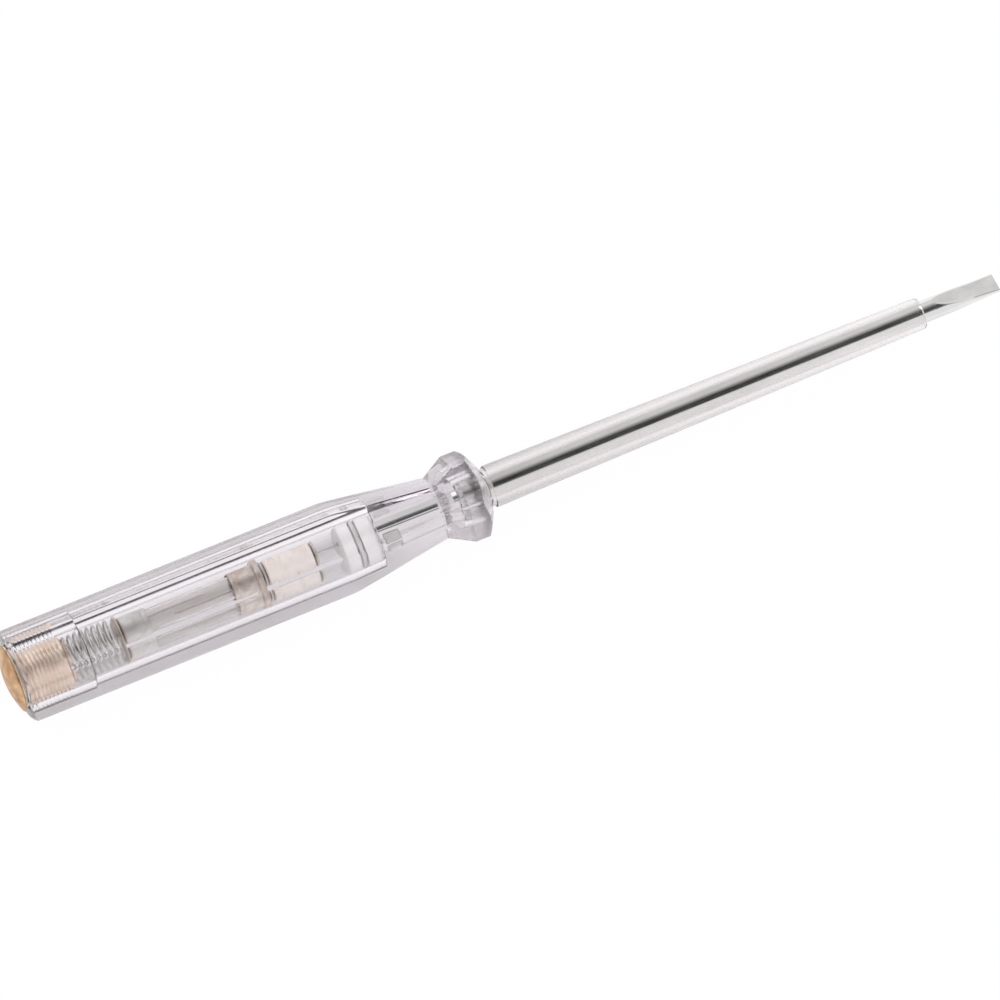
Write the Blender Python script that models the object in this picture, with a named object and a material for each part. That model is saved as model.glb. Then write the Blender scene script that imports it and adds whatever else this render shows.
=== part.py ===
"""Voltage tester screwdriver: clear hexagonal handle, neon lamp, resistor, spring, screw cap and sleeved blade.

The tool lies along X with its cap at -X and the blade's tip at +X. It rests on one flat of the handle at z = 0.
Lengths are in metres. Stations along the tool are measured forward from the handle's rear face.
"""
import math

import bmesh
import bpy
from mathutils import Matrix, Vector

# Overall
TOTAL_LENGTH = 0.190
CLEARANCE = 0.0003
CUT_OVERRUN = 0.002
MERGE_DISTANCE = 0.0000001
SEGMENTS = 48

# Handle moulding
HANDLE_HALF_FLAT = 0.00765
HANDLE_CORNER_RADIUS = 0.0009
REAR_FACE_RADIUS = 0.0066
REAR_RIM_LENGTH = 0.0019
REAR_RIM_HEIGHT = 0.0026
SHOULDER_STATION = 0.0615
SHOULDER_BLEND_LENGTH = 0.0030
NECK_HALF_FLAT = 0.00522
NECK_STATION = 0.0803
COLLAR_HALF_FLAT = 0.00728
COLLAR_REAR_STATION = 0.0845
NOSE_STATION = 0.0893
NOSE_LENGTH = 0.0030
NOSE_RADIUS = 0.0045
NOSE_RISE = 0.0047
NOSE_BULGE_POWER = 1.35
THREAD_BORE_RADIUS = 0.0056
THREAD_BORE_DEPTH = 0.0128
CHAMBER_RADIUS = 0.0050
CHAMBER_DEPTH = 0.0681
SLEEVE_SOCKET_DEPTH = 0.0050

# Screw cap
CAP_HEAD_RADIUS = 0.0062
CAP_HEAD_HEIGHT = 0.0016
CAP_RIM_HEIGHT = 0.0003
CAP_PLUG_LENGTH = 0.0092
CAP_PLUG_CHAMFER = 0.0005
CAP_SPIGOT_RADIUS = 0.0030
CAP_SPIGOT_LENGTH = 0.0008

# Compression spring
SPRING_WIRE_DIAMETER = 0.0004
SPRING_OUTER_RADIUS = 0.0046
SPRING_TURNS = 8
SPRING_POINTS_PER_TURN = 10
SPRING_LEAST_GAP = 0.0004
SPRING_LENGTH = 0.0095

# Contact disc in front of the spring
SEAT_THICKNESS = 0.0003

# Neon lamp
LAMP_BEAD_SEGMENTS = 24
LAMP_CAP_RADIUS = 0.0038
LAMP_CAP_WALL = 0.00035
LAMP_CAP_END = 0.0005
LAMP_REAR_CAP_LENGTH = 0.0052
LAMP_FRONT_CAP_LENGTH = 0.0056
LAMP_FLANGE_LENGTH = 0.0011
LAMP_GLASS_WALL = 0.0005
STEM_LENGTH = 0.0032
ELECTRODE_RADIUS = 0.00035
ELECTRODE_CHAMFER = 0.00012
ELECTRODE_OFFSET = 0.0010
ELECTRODE_OVERLAP = 0.0030

# Series resistor
RESISTOR_RADIUS = 0.0035
RESISTOR_BODY_LENGTH = 0.00875
RESISTOR_CAP_LENGTH = 0.0005
RESISTOR_LEAD_RADIUS = 0.00035
RESISTOR_CAP_CHAMFER = 0.00015
RESISTOR_SETBACK = 0.0043

# Contact carrier, its ring and its pin
CARRIER_LENGTH = 0.0064
CARRIER_GROOVE_SETBACK = 0.0042
CARRIER_GROOVE_LENGTH = 0.0013
CARRIER_GROOVE_DEPTH = 0.0011
CARRIER_EDGE_RADIUS = 0.0009
CARRIER_HOLE_RADIUS = 0.0008
CARRIER_RECESS_RADIUS = 0.0021
CARRIER_RECESS_DEPTH = 0.0006
PIN_RADIUS = 0.0005
PIN_HEAD_RADIUS = 0.0016
PIN_HEAD_THICKNESS = 0.0006
LEAD_ENTRY = 0.0008

# Blade
SHANK_RADIUS = 0.0020
SHANK_SIDE_POINTS = 12
TIP_THICKNESS = 0.0008
TIP_GRIND_LENGTH = 0.0122
TIP_GRIND_STEPS = 6
TIP_HOLLOW_SHARE = 0.10
TIP_TURN_DEG = 24.0
WING_SPAN = 0.0064
WING_THICKNESS = 0.0010
WING_LENGTH = 0.0030
WING_CORNER_RADIUS = 0.0008
WING_SETBACK = 0.0008

# Insulating sleeve
SLEEVE_REAR_RADIUS = 0.00388
SLEEVE_FRONT_RADIUS = 0.00290
SLEEVE_EDGE_RADIUS = 0.0006
SLEEVE_FRONT_STATION = 0.1737
SLEEVE_SPIGOT_RADIUS = 0.0035
SLEEVE_SPIGOT_SHOWING = 0.0011

# Worked out from the sizes above
HEX_SIDES = 6
HALF_SIDE_ANGLE = math.pi / HEX_SIDES
REAR_X = -TOTAL_LENGTH / 2 + CAP_HEAD_HEIGHT + CLEARANCE
AXIS_Z = HANDLE_HALF_FLAT
TIP_STATION = TOTAL_LENGTH / 2 - REAR_X
PLUG_RADIUS = THREAD_BORE_RADIUS - CLEARANCE
PLUG_END_STATION = CAP_PLUG_LENGTH
SPRING_REAR_STATION = PLUG_END_STATION + CLEARANCE
SPRING_FRONT_STATION = SPRING_REAR_STATION + SPRING_LENGTH
SEAT_STATION = SPRING_FRONT_STATION + CLEARANCE
LAMP_REAR_STATION = SEAT_STATION + SEAT_THICKNESS + CLEARANCE
LAMP_GLASS_RADIUS = LAMP_CAP_RADIUS - LAMP_CAP_WALL - CLEARANCE
LAMP_GLASS_BORE = LAMP_GLASS_RADIUS - LAMP_GLASS_WALL
LAMP_FLANGE_RADIUS = CHAMBER_RADIUS - CLEARANCE
CARRIER_RADIUS = CHAMBER_RADIUS - CLEARANCE
CARRIER_FRONT_STATION = CHAMBER_DEPTH - CLEARANCE
CARRIER_REAR_STATION = CARRIER_FRONT_STATION - CARRIER_LENGTH
CARRIER_GROOVE_STATION = CARRIER_FRONT_STATION - CARRIER_GROOVE_SETBACK
GROOVE_RADIUS = CARRIER_RADIUS - CARRIER_GROOVE_DEPTH
GROOVE_END_STATION = CARRIER_GROOVE_STATION + CARRIER_GROOVE_LENGTH
RESISTOR_FRONT_STATION = CARRIER_REAR_STATION - RESISTOR_SETBACK
RESISTOR_LEAD_STATION = RESISTOR_FRONT_STATION + CLEARANCE
RESISTOR_FRONT_CAP_STATION = RESISTOR_FRONT_STATION - RESISTOR_CAP_LENGTH
RESISTOR_BODY_STATION = RESISTOR_FRONT_CAP_STATION - CLEARANCE - RESISTOR_BODY_LENGTH
RESISTOR_REAR_STATION = RESISTOR_BODY_STATION - CLEARANCE - RESISTOR_CAP_LENGTH
LAMP_FRONT_STATION = RESISTOR_REAR_STATION - CLEARANCE
GLASS_REAR_STATION = LAMP_REAR_STATION + LAMP_CAP_END + CLEARANCE
GLASS_FRONT_STATION = LAMP_FRONT_STATION - LAMP_CAP_END - CLEARANCE
LEAD_END_STATION = CARRIER_REAR_STATION + LEAD_ENTRY
PIN_REAR_STATION = LEAD_END_STATION + CLEARANCE
PIN_HEAD_STATION = CHAMBER_DEPTH - CLEARANCE - PIN_HEAD_THICKNESS
RECESS_STATION = PIN_HEAD_STATION - CLEARANCE
SHANK_BORE_RADIUS = SHANK_RADIUS + CLEARANCE
WING_STATION = CHAMBER_DEPTH + WING_SETBACK
SOCKET_STATION = NOSE_STATION - SLEEVE_SOCKET_DEPTH
SOCKET_RADIUS = SLEEVE_SPIGOT_RADIUS + CLEARANCE
SLEEVE_SHOULDER_STATION = NOSE_STATION + SLEEVE_SPIGOT_SHOWING


def station(distance):
    """World X of a point that lies this far in front of the handle's rear face."""
    return REAR_X + distance


def material(name, color, roughness, metallic=0.0, transmission=0.0):
    """Principled material with the piece's colour and finish."""
    made = bpy.data.materials.new(name)
    made.use_nodes = True
    shader = made.node_tree.nodes["Principled BSDF"]
    shader.inputs["Base Color"].default_value = (*color, 1.0)
    shader.inputs["Roughness"].default_value = roughness
    shader.inputs["Metallic"].default_value = metallic
    shader.inputs["Transmission Weight"].default_value = transmission
    made.diffuse_color = (*color, 1.0)
    return made


def finish(name, shape, surface, smooth=True):
    """Turns a bmesh into a named object on the tool's axis, with its normals facing out."""
    bmesh.ops.remove_doubles(shape, verts=shape.verts, dist=MERGE_DISTANCE)
    bmesh.ops.recalc_face_normals(shape, faces=shape.faces)
    mesh = bpy.data.meshes.new(name)
    shape.to_mesh(mesh)
    shape.free()
    if smooth:
        mesh.shade_smooth()
        mesh.set_sharp_from_angle(angle=math.radians(25.0))
    mesh.materials.append(surface)
    placed = bpy.data.objects.new(name, mesh)
    placed.location = (0.0, 0.0, AXIS_Z)
    bpy.context.scene.collection.objects.link(placed)
    return placed


def turned(name, profile, surface, segments=SEGMENTS, offset_y=0.0):
    """Spins a closed outline of (station, radius) points about the tool's axis, or a line beside it."""
    shape = bmesh.new()
    axis = Vector((0.0, offset_y, 0.0))
    points = [shape.verts.new((station(along), offset_y, radius)) for along, radius in profile]
    edges = [shape.edges.new((points[i], points[i - 1])) for i in range(1, len(points))]
    if profile[0][1] > 0.0:
        edges.append(shape.edges.new((points[0], points[-1])))
    bmesh.ops.spin(
        shape, geom=points + edges, cent=axis, axis=(1.0, 0.0, 0.0),
        angle=math.tau, steps=segments, use_merge=True,
    )
    return finish(name, shape, surface)


def arc(center, radius, start_deg, end_deg, steps):
    """Points of an arc in a (station, radius) outline, ends included."""
    along, out = center
    turn = [math.radians(start_deg + (end_deg - start_deg) * i / steps) for i in range(steps + 1)]
    return [(along + radius * math.cos(a), out + radius * math.sin(a)) for a in turn]


def combine(target, tool, operation):
    """Cuts, fuses or trims an object with another, which stays as a hidden guide."""
    combined = target.modifiers.new(tool.name, "BOOLEAN")
    combined.operation = operation
    combined.solver = "EXACT"
    combined.object = tool
    tool.hide_render = True
    tool.display_type = "WIRE"


def hexagon(half_flat, corner_radius, corner_steps=3):
    """Rounded hexagon as (y, z) points, with a flat facing up and one facing down."""
    corner_distance = (half_flat - corner_radius) / math.cos(HALF_SIDE_ANGLE)
    outline = []
    for corner in range(HEX_SIDES):
        middle = math.tau * corner / HEX_SIDES
        for i in range(corner_steps + 1):
            angle = middle - HALF_SIDE_ANGLE + 2 * HALF_SIDE_ANGLE * i / corner_steps
            y = corner_distance * math.cos(middle) + corner_radius * math.cos(angle)
            z = corner_distance * math.sin(middle) + corner_radius * math.sin(angle)
            outline.append((y, z))
    return outline


def loft(sections):
    """Skins (station, outline) sections of equal point counts and closes both ends."""
    shape = bmesh.new()
    rings = [[shape.verts.new((station(along), y, z)) for y, z in outline] for along, outline in sections]
    for near, far in zip(rings, rings[1:]):
        for i in range(len(near)):
            shape.faces.new((near[i - 1], near[i], far[i], far[i - 1]))
    shape.faces.new(rings[0])
    shape.faces.new(rings[-1])
    return shape


def handle_sections():
    """Hexagonal sections that run over the shoulder and the neck to the guard collar, past both ends."""
    slope = (NECK_HALF_FLAT - HANDLE_HALF_FLAT) / (NECK_STATION - SHOULDER_STATION)
    sections = [(-CUT_OVERRUN, HANDLE_HALF_FLAT)]
    blend_steps = 4
    for i in range(blend_steps + 1):
        along = SHOULDER_BLEND_LENGTH * i / blend_steps
        drop = slope * along ** 2 / (2 * SHOULDER_BLEND_LENGTH)
        sections.append((SHOULDER_STATION - SHOULDER_BLEND_LENGTH / 2 + along, HANDLE_HALF_FLAT + drop))
    sections.append((NECK_STATION, NECK_HALF_FLAT))
    sections.append((COLLAR_REAR_STATION, COLLAR_HALF_FLAT))
    sections.append((NOSE_STATION + CUT_OVERRUN, COLLAR_HALF_FLAT))
    return [(along, hexagon(half_flat, HANDLE_CORNER_RADIUS)) for along, half_flat in sections]


def turned_envelope(clear):
    """Turned form that rounds the hexagon's rear rim and domes its nose."""
    outline = [(0.0, 0.0)]
    rim_steps = 6
    for i in range(rim_steps + 1):
        angle = math.pi / 2 * i / rim_steps
        along = REAR_RIM_LENGTH * (1.0 - math.cos(angle))
        outline.append((along, REAR_FACE_RADIUS + REAR_RIM_HEIGHT * math.sin(angle)))
    nose_steps = 6
    for i in range(nose_steps + 1):
        share = i / nose_steps
        along = NOSE_STATION - NOSE_LENGTH * (1.0 - share)
        outline.append((along, NOSE_RADIUS + NOSE_RISE * (1.0 - share ** NOSE_BULGE_POWER)))
    outline.append((NOSE_STATION, 0.0))
    return turned("handle_envelope", outline, clear, segments=2 * SEGMENTS)


def wing_block(name, clearance, surface):
    """The ears pressed flat at the shank's rear, or with a clearance the pocket that holds them."""
    shape = bmesh.new()
    bmesh.ops.create_cube(shape, size=1.0)
    size = (WING_LENGTH + 2 * clearance, WING_SPAN + 2 * clearance, WING_THICKNESS + 2 * clearance)
    bmesh.ops.scale(shape, vec=size, verts=shape.verts)
    upright = [e for e in shape.edges if abs(e.verts[0].co.z - e.verts[1].co.z) > WING_THICKNESS / 2]
    bmesh.ops.bevel(shape, geom=upright, offset=WING_CORNER_RADIUS, segments=3, profile=0.5, affect="EDGES")
    bmesh.ops.rotate(shape, matrix=Matrix.Rotation(-math.radians(TIP_TURN_DEG), 3, "X"), verts=shape.verts)
    middle = station(WING_STATION + WING_LENGTH / 2)
    bmesh.ops.translate(shape, vec=(middle, 0.0, 0.0), verts=shape.verts)
    return finish(name, shape, surface, smooth=False)


def make_handle(clear):
    """Clear moulding: lofted hexagon with a thread bore, a lamp chamber, a shank bore and a sleeve socket."""
    handle = finish("handle", loft(handle_sections()), clear)
    combine(handle, turned_envelope(clear), "INTERSECT")
    bore = [
        (-CUT_OVERRUN, 0.0),
        (-CUT_OVERRUN, THREAD_BORE_RADIUS),
        (THREAD_BORE_DEPTH, THREAD_BORE_RADIUS),
        (THREAD_BORE_DEPTH, CHAMBER_RADIUS),
        (CHAMBER_DEPTH, CHAMBER_RADIUS),
        (CHAMBER_DEPTH, SHANK_BORE_RADIUS),
        (SOCKET_STATION, SHANK_BORE_RADIUS),
        (SOCKET_STATION, SOCKET_RADIUS),
        (NOSE_STATION + CUT_OVERRUN, SOCKET_RADIUS),
        (NOSE_STATION + CUT_OVERRUN, 0.0),
    ]
    combine(handle, turned("handle_bore", bore, clear), "DIFFERENCE")
    combine(handle, wing_block("wing_pocket", CLEARANCE, clear), "DIFFERENCE")
    return handle


def make_cap(copper, carrier):
    """Screw cap: domed head, plug and spigot, with its origin on the screw's axis."""
    dome_base = -CLEARANCE
    rim = dome_base - CAP_RIM_HEIGHT
    dome_height = CAP_HEAD_HEIGHT - CAP_RIM_HEIGHT
    dome_radius = (CAP_HEAD_RADIUS ** 2 + dome_height ** 2) / (2 * dome_height)
    half_angle = math.degrees(math.asin(CAP_HEAD_RADIUS / dome_radius))
    center = (rim - dome_height + dome_radius, 0.0)
    outline = arc(center, dome_radius, 180.0, 180.0 - half_angle, 7)
    outline[0] = (rim - dome_height, 0.0)
    outline += [
        (dome_base, CAP_HEAD_RADIUS),
        (dome_base, PLUG_RADIUS),
        (PLUG_END_STATION - CAP_PLUG_CHAMFER, PLUG_RADIUS),
        (PLUG_END_STATION, PLUG_RADIUS - CAP_PLUG_CHAMFER),
        (PLUG_END_STATION, CAP_SPIGOT_RADIUS),
        (PLUG_END_STATION + CAP_SPIGOT_LENGTH, CAP_SPIGOT_RADIUS),
        (PLUG_END_STATION + CAP_SPIGOT_LENGTH, 0.0),
    ]
    cap = turned("contact_cap", outline, copper)
    cap.parent = carrier
    cap.matrix_parent_inverse = carrier.matrix_world.inverted()
    return cap


def spring_points():
    """Wire centres: a straight end, the coil's turns and a straight end, each end one wire long."""
    mean_radius = SPRING_OUTER_RADIUS - SPRING_WIRE_DIAMETER / 2
    first = SPRING_REAR_STATION + SPRING_WIRE_DIAMETER
    last = SPRING_FRONT_STATION - SPRING_WIRE_DIAMETER
    count = SPRING_TURNS * SPRING_POINTS_PER_TURN
    coil = []
    for i in range(count + 1):
        angle = math.tau * i / SPRING_POINTS_PER_TURN
        along = first + (last - first) * i / count
        coil.append(Vector((station(along), mean_radius * math.sin(angle), mean_radius * math.cos(angle))))
    start = coil[0] + Vector((SPRING_REAR_STATION - first, 0.0, 0.0))
    end = coil[-1] + Vector((SPRING_FRONT_STATION - last, 0.0, 0.0))
    return [start] + coil + [end]


def least_gap_between_turns(points):
    """Smallest clear distance between wire points that are at least half a turn apart along the wire."""
    half_turn = SPRING_POINTS_PER_TURN // 2
    nearest = min(
        (points[i] - points[j]).length
        for i in range(len(points))
        for j in range(i + half_turn, len(points))
    )
    return nearest - SPRING_WIRE_DIAMETER


def make_spring(steel, carrier):
    """Coil spring as one unbroken round wire."""
    points = spring_points()
    gap = least_gap_between_turns(points)
    print(f"least gap between the spring's turns: {gap * 1000:.3f} mm, wanted over {SPRING_LEAST_GAP * 1000:.1f} mm")
    path = bpy.data.curves.new("compression_spring", "CURVE")
    path.dimensions = "3D"
    wire = path.splines.new("POLY")
    wire.points.add(len(points) - 1)
    for target, point in zip(wire.points, points):
        target.co = (*point, 1.0)
    path.bevel_depth = SPRING_WIRE_DIAMETER / 2
    path.bevel_resolution = 1
    path.use_fill_caps = True
    path.materials.append(steel)
    spring = bpy.data.objects.new("compression_spring", path)
    spring.location = (0.0, 0.0, AXIS_Z)
    bpy.context.scene.collection.objects.link(spring)
    spring.parent = carrier
    spring.matrix_parent_inverse = carrier.matrix_world.inverted()
    return spring


def make_spring_seat(brass):
    """Contact disc between the spring and the lamp."""
    outline = [
        (SEAT_STATION, 0.0),
        (SEAT_STATION, SPRING_OUTER_RADIUS),
        (SEAT_STATION + SEAT_THICKNESS, SPRING_OUTER_RADIUS),
        (SEAT_STATION + SEAT_THICKNESS, 0.0),
    ]
    return turned("spring_seat", outline, brass)


def make_lamp(glass, nickel, brass):
    """Neon lamp: tube, two ferrules, two glass beads and two electrodes side by side.

    It is as long as the chamber between the spring's disc and the resistor.
    """
    rear_cap_end = LAMP_REAR_STATION + LAMP_REAR_CAP_LENGTH
    inner = LAMP_CAP_RADIUS - LAMP_CAP_WALL
    turned("lamp_rear_cap", [
        (LAMP_REAR_STATION, 0.0),
        (LAMP_REAR_STATION, LAMP_CAP_RADIUS),
        (rear_cap_end, LAMP_CAP_RADIUS),
        (rear_cap_end, inner),
        (LAMP_REAR_STATION + LAMP_CAP_END, inner),
        (LAMP_REAR_STATION + LAMP_CAP_END, 0.0),
    ], nickel)
    front_cap_start = LAMP_FRONT_STATION - LAMP_FRONT_CAP_LENGTH
    flange_start = LAMP_FRONT_STATION - LAMP_FLANGE_LENGTH
    turned("lamp_front_cap", [
        (LAMP_FRONT_STATION, 0.0),
        (LAMP_FRONT_STATION, LAMP_FLANGE_RADIUS),
        (flange_start, LAMP_FLANGE_RADIUS),
        (flange_start, LAMP_CAP_RADIUS),
        (front_cap_start, LAMP_CAP_RADIUS),
        (front_cap_start, inner),
        (LAMP_FRONT_STATION - LAMP_CAP_END, inner),
        (LAMP_FRONT_STATION - LAMP_CAP_END, 0.0),
    ], brass)
    turned("lamp_glass", [
        (GLASS_REAR_STATION, LAMP_GLASS_RADIUS),
        (GLASS_FRONT_STATION, LAMP_GLASS_RADIUS),
        (GLASS_FRONT_STATION, LAMP_GLASS_BORE),
        (GLASS_REAR_STATION, LAMP_GLASS_BORE),
    ], glass)
    make_stem("lamp_rear_stem", GLASS_REAR_STATION, ELECTRODE_OFFSET, glass)
    make_stem("lamp_front_stem", GLASS_FRONT_STATION - STEM_LENGTH, -ELECTRODE_OFFSET, glass)
    middle = (GLASS_REAR_STATION + GLASS_FRONT_STATION) / 2
    make_electrode("lamp_rear_electrode", GLASS_REAR_STATION, middle + ELECTRODE_OVERLAP, ELECTRODE_OFFSET, nickel)
    make_electrode("lamp_front_electrode", middle - ELECTRODE_OVERLAP, GLASS_FRONT_STATION, -ELECTRODE_OFFSET, nickel)


def make_stem(name, start, offset_y, glass):
    """Glass bead that fills the tube's end, with a hole for its electrode."""
    radius = LAMP_GLASS_BORE - CLEARANCE
    bead = turned(name, [
        (start, 0.0),
        (start, radius),
        (start + STEM_LENGTH, radius),
        (start + STEM_LENGTH, 0.0),
    ], glass, segments=LAMP_BEAD_SEGMENTS)
    hole = turned(f"{name}_hole", [
        (start - CUT_OVERRUN, 0.0),
        (start - CUT_OVERRUN, ELECTRODE_RADIUS + CLEARANCE),
        (start + STEM_LENGTH + CUT_OVERRUN, ELECTRODE_RADIUS + CLEARANCE),
        (start + STEM_LENGTH + CUT_OVERRUN, 0.0),
    ], glass, segments=16, offset_y=offset_y)
    combine(bead, hole, "DIFFERENCE")


def make_electrode(name, start, end, offset_y, nickel):
    """Straight wire beside the lamp's axis, chamfered at both ends."""
    turned(name, [
        (start, 0.0),
        (start, ELECTRODE_RADIUS - ELECTRODE_CHAMFER),
        (start + ELECTRODE_CHAMFER, ELECTRODE_RADIUS),
        (end - ELECTRODE_CHAMFER, ELECTRODE_RADIUS),
        (end, ELECTRODE_RADIUS - ELECTRODE_CHAMFER),
        (end, 0.0),
    ], nickel, segments=16, offset_y=offset_y)


def make_resistor(ceramic, nickel):
    """Series resistor: rod, two end caps and the front wire."""
    turned("resistor_body", [
        (RESISTOR_BODY_STATION, 0.0),
        (RESISTOR_BODY_STATION, RESISTOR_RADIUS),
        (RESISTOR_BODY_STATION + RESISTOR_BODY_LENGTH, RESISTOR_RADIUS),
        (RESISTOR_BODY_STATION + RESISTOR_BODY_LENGTH, 0.0),
    ], ceramic)
    for name, start in (
        ("resistor_rear_cap", RESISTOR_REAR_STATION),
        ("resistor_front_cap", RESISTOR_FRONT_CAP_STATION),
    ):
        end = start + RESISTOR_CAP_LENGTH
        turned(name, [
            (start, 0.0),
            (start, RESISTOR_RADIUS - RESISTOR_CAP_CHAMFER),
            (start + RESISTOR_CAP_CHAMFER, RESISTOR_RADIUS),
            (end - RESISTOR_CAP_CHAMFER, RESISTOR_RADIUS),
            (end, RESISTOR_RADIUS - RESISTOR_CAP_CHAMFER),
            (end, 0.0),
        ], nickel)
    turned("resistor_front_lead", [
        (RESISTOR_LEAD_STATION, 0.0),
        (RESISTOR_LEAD_STATION, RESISTOR_LEAD_RADIUS),
        (LEAD_END_STATION, RESISTOR_LEAD_RADIUS),
        (LEAD_END_STATION, 0.0),
    ], nickel, segments=16)


def make_contact_carrier(white, rubber, brass):
    """Stepped bush at the chamber's end, the ring in its groove and the headed pin through it."""
    edge_center = (CARRIER_FRONT_STATION - CARRIER_EDGE_RADIUS, CARRIER_RADIUS - CARRIER_EDGE_RADIUS)
    outline = [
        (CARRIER_REAR_STATION, CARRIER_HOLE_RADIUS),
        (CARRIER_REAR_STATION, CARRIER_RADIUS),
        (CARRIER_GROOVE_STATION, CARRIER_RADIUS),
        (CARRIER_GROOVE_STATION, GROOVE_RADIUS),
        (GROOVE_END_STATION, GROOVE_RADIUS),
        (GROOVE_END_STATION, CARRIER_RADIUS),
    ]
    outline += arc(edge_center, CARRIER_EDGE_RADIUS, 90.0, 0.0, 4)
    outline += [
        (CARRIER_FRONT_STATION, CARRIER_RECESS_RADIUS),
        (RECESS_STATION, CARRIER_RECESS_RADIUS),
        (RECESS_STATION, CARRIER_HOLE_RADIUS),
    ]
    turned("contact_carrier", outline, white)
    turned("carrier_ring", [
        (CARRIER_GROOVE_STATION + CLEARANCE, GROOVE_RADIUS + CLEARANCE),
        (CARRIER_GROOVE_STATION + CLEARANCE, CARRIER_RADIUS),
        (GROOVE_END_STATION - CLEARANCE, CARRIER_RADIUS),
        (GROOVE_END_STATION - CLEARANCE, GROOVE_RADIUS + CLEARANCE),
    ], rubber)
    turned("contact_pin", [
        (PIN_REAR_STATION, 0.0),
        (PIN_REAR_STATION, PIN_RADIUS),
        (PIN_HEAD_STATION, PIN_RADIUS),
        (PIN_HEAD_STATION, PIN_HEAD_RADIUS),
        (PIN_HEAD_STATION + PIN_HEAD_THICKNESS, PIN_HEAD_RADIUS),
        (PIN_HEAD_STATION + PIN_HEAD_THICKNESS, 0.0),
    ], brass, segments=24)


def shank_ring(half_thickness):
    """Section of the shank: a round bar with two flats this far from its middle, turned like the tip."""
    angle = math.asin(half_thickness / SHANK_RADIUS)
    turn = math.radians(TIP_TURN_DEG)
    outline = []
    for side in (0.0, math.pi):
        for i in range(SHANK_SIDE_POINTS):
            a = side - angle + 2 * angle * i / (SHANK_SIDE_POINTS - 1) - turn
            outline.append((SHANK_RADIUS * math.cos(a), SHANK_RADIUS * math.sin(a)))
    return outline


def make_blade(steel):
    """Round shank with hollow-ground flats at the tip and flattened wings at the rear."""
    point_step = math.pi / SHANK_SIDE_POINTS
    round_half = SHANK_RADIUS * math.cos(point_step / 2)
    tip_half = TIP_THICKNESS / 2
    grind_start = TIP_STATION - TIP_GRIND_LENGTH
    sections = [(CHAMBER_DEPTH, shank_ring(round_half)), (grind_start, shank_ring(round_half))]
    for i in range(1, TIP_GRIND_STEPS + 1):
        share = i / TIP_GRIND_STEPS
        hollow = TIP_HOLLOW_SHARE * math.sin(math.pi * share)
        half = round_half + (tip_half - round_half) * min(1.0, share + hollow)
        sections.append((grind_start + TIP_GRIND_LENGTH * share, shank_ring(half)))
    blade = finish("blade", loft(sections), steel)
    combine(blade, wing_block("blade_wings", 0.0, steel), "UNION")
    return blade


def make_sleeve(clear):
    """Tapered clear tube with a rounded front edge and a spigot that sits in the handle's nose."""
    bore = SHANK_RADIUS + CLEARANCE
    spigot_start = SOCKET_STATION + CLEARANCE
    edge_center = (SLEEVE_FRONT_STATION - SLEEVE_EDGE_RADIUS, SLEEVE_FRONT_RADIUS - SLEEVE_EDGE_RADIUS)
    outline = [
        (spigot_start, bore),
        (spigot_start, SLEEVE_SPIGOT_RADIUS),
        (SLEEVE_SHOULDER_STATION, SLEEVE_SPIGOT_RADIUS),
        (SLEEVE_SHOULDER_STATION, SLEEVE_REAR_RADIUS),
    ]
    outline += arc(edge_center, SLEEVE_EDGE_RADIUS, 90.0, 0.0, 4)
    outline.append((SLEEVE_FRONT_STATION, bore))
    return turned("blade_sleeve", outline, clear)


def make_screw_axis():
    """Empty on the screw's axis that carries the cap and the end of the spring that follows it."""
    axis = bpy.data.objects.new("cap_axis", None)
    axis.location = (station(0.0), 0.0, AXIS_Z)
    bpy.context.scene.collection.objects.link(axis)
    bpy.context.view_layer.update()
    return axis


def main():
    for old in list(bpy.data.objects):
        bpy.data.objects.remove(old)
    clear = material("clear_plastic", (0.93, 0.90, 0.93), 0.05, transmission=0.9)
    sleeve_clear = material("sleeve_plastic", (0.95, 0.95, 0.95), 0.05, transmission=0.9)
    glass = material("lamp_glass", (0.92, 0.92, 0.90), 0.03, transmission=0.9)
    copper = material("copper_cap", (0.72, 0.42, 0.25), 0.30, metallic=1.0)
    brass = material("brass", (0.55, 0.38, 0.18), 0.30, metallic=1.0)
    nickel = material("nickel", (0.70, 0.69, 0.66), 0.22, metallic=1.0)
    spring_steel = material("spring_steel", (0.60, 0.60, 0.60), 0.25, metallic=1.0)
    chrome = material("chrome_steel", (0.72, 0.72, 0.72), 0.12, metallic=1.0)
    ceramic = material("resistor_ceramic", (0.80, 0.68, 0.52), 0.35)
    white = material("white_plastic", (0.90, 0.90, 0.88), 0.40)
    rubber = material("ring_rubber", (0.25, 0.25, 0.25), 0.60)
    screw_axis = make_screw_axis()
    make_handle(clear)
    make_cap(copper, screw_axis)
    make_spring(spring_steel, screw_axis)
    make_spring_seat(brass)
    make_lamp(glass, nickel, brass)
    make_resistor(ceramic, nickel)
    make_contact_carrier(white, rubber, brass)
    make_blade(chrome)
    make_sleeve(sleeve_clear)


main()
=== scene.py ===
"""Looks of the voltage tester screwdriver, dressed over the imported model.

The tool lies along X with its screw cap at -X, resting on one flat of the handle at z = 0.
Sizes are in millimetres, apart from the noise scales and bump distances of the materials,
which are in metres. Stations are measured forward along the tool's axis from the handle's
rear face, and outlines are lists of (station, radius).
"""
import math

import bmesh
import bpy
from mathutils import Matrix, Vector


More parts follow.
